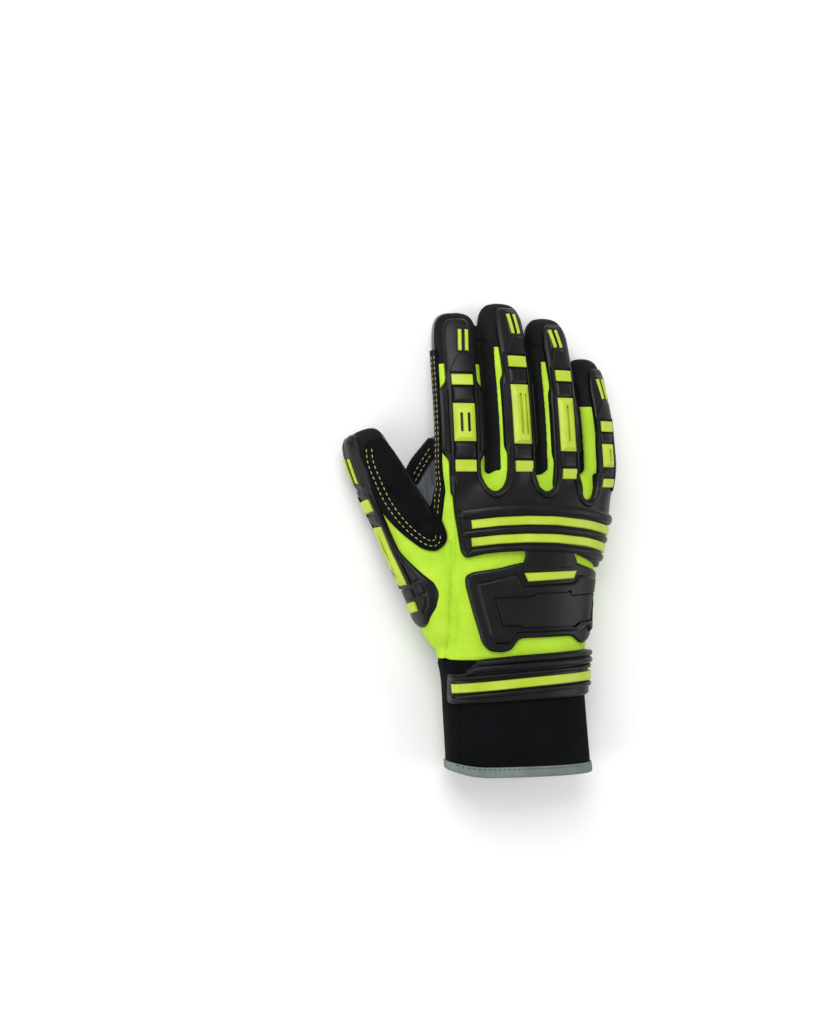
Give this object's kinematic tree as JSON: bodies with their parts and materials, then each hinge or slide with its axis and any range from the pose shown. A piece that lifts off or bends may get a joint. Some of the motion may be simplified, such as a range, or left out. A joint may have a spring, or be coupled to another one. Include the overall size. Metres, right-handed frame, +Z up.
{
  "type": "impact work glove",
  "caption": "Right-hand work glove with green knit back, black moulded impact guards with neon inserts, grey coated palm and a black neoprene cuff.",
  "frame": {"origin": "middle of the palm's flat underside, which the glove lies on", "axes": "+Z up from the palm to the back of the hand, +Y to the fingertips, thumb towards -X"},
  "size_m": [0.1588, 0.2705, 0.0459],
  "materials": {
    "green_cloth": "fine rib knit, matt",
    "grey_palm": "coated, streaky, low sheen",
    "black_cloth": "stretch knit, matt",
    "black_suede": "suede, matt",
    "black_rubber": "moulded, satin",
    "neon_rubber": "moulded, satin",
    "black_neoprene": "foam-backed knit, matt",
    "grey_binding": "woven tape, matt",
    "label": "smooth film, matt"
  },
  "bodies": {
    "root": {"back_panel": "green_cloth", "thumb_back": "green_cloth", "palm_panel": "grey_palm", "thumb_front": "grey_palm", "fourchette_index_middle": "black_cloth", "fourchette_middle_ring": "black_cloth", "fourchette_ring_little": "black_cloth", "tip_index": "black_cloth", "tip_middle": "black_cloth", "tip_ring": "black_cloth", "tip_little": "black_cloth", "tip_thumb": "black_cloth", "hand_guard": "black_rubber", "thumb_guard": "black_rubber", "wrist_guard": "black_rubber", "closure_tab": "black_rubber", "bar_upper_index": "neon_rubber", "block_index": "neon_rubber", "bar_lower_index": "neon_rubber", "tip_line_index_a": "neon_rubber", "tip_line_index_b": "neon_rubber", "bar_upper_middle": "neon_rubber", "block_middle": "neon_rubber", "bar_lower_middle": "neon_rubber", "tip_line_middle_a": "neon_rubber", "tip_line_middle_b": "neon_rubber", "bar_upper_ring": "neon_rubber", "block_ring": "neon_rubber", "bar_lower_ring": "neon_rubber", "tip_line_ring_a": "neon_rubber", "tip_line_ring_b": "neon_rubber", "bar_upper_little": "neon_rubber", "block_little": "neon_rubber", "bar_lower_little": "neon_rubber", "tip_line_little_a": "neon_rubber", "tip_line_little_b": "neon_rubber", "knuckle_stripe_upper": "neon_rubber", "knuckle_stripe_lower": "neon_rubber", "back_bar": "neon_rubber", "thumb_line_a": "neon_rubber", "thumb_line_b": "neon_rubber", "thumb_bar_upper": "neon_rubber", "thumb_block": "neon_rubber", "thumb_bar_lower": "neon_rubber", "wrist_stripe": "neon_rubber", "tab_rim": "neon_rubber", "web_patch": "black_suede", "index_strip": "black_suede", "cuff": "black_neoprene", "cuff_binding": "grey_binding", "tab_label": "label"}
  },
  "joints": []
}
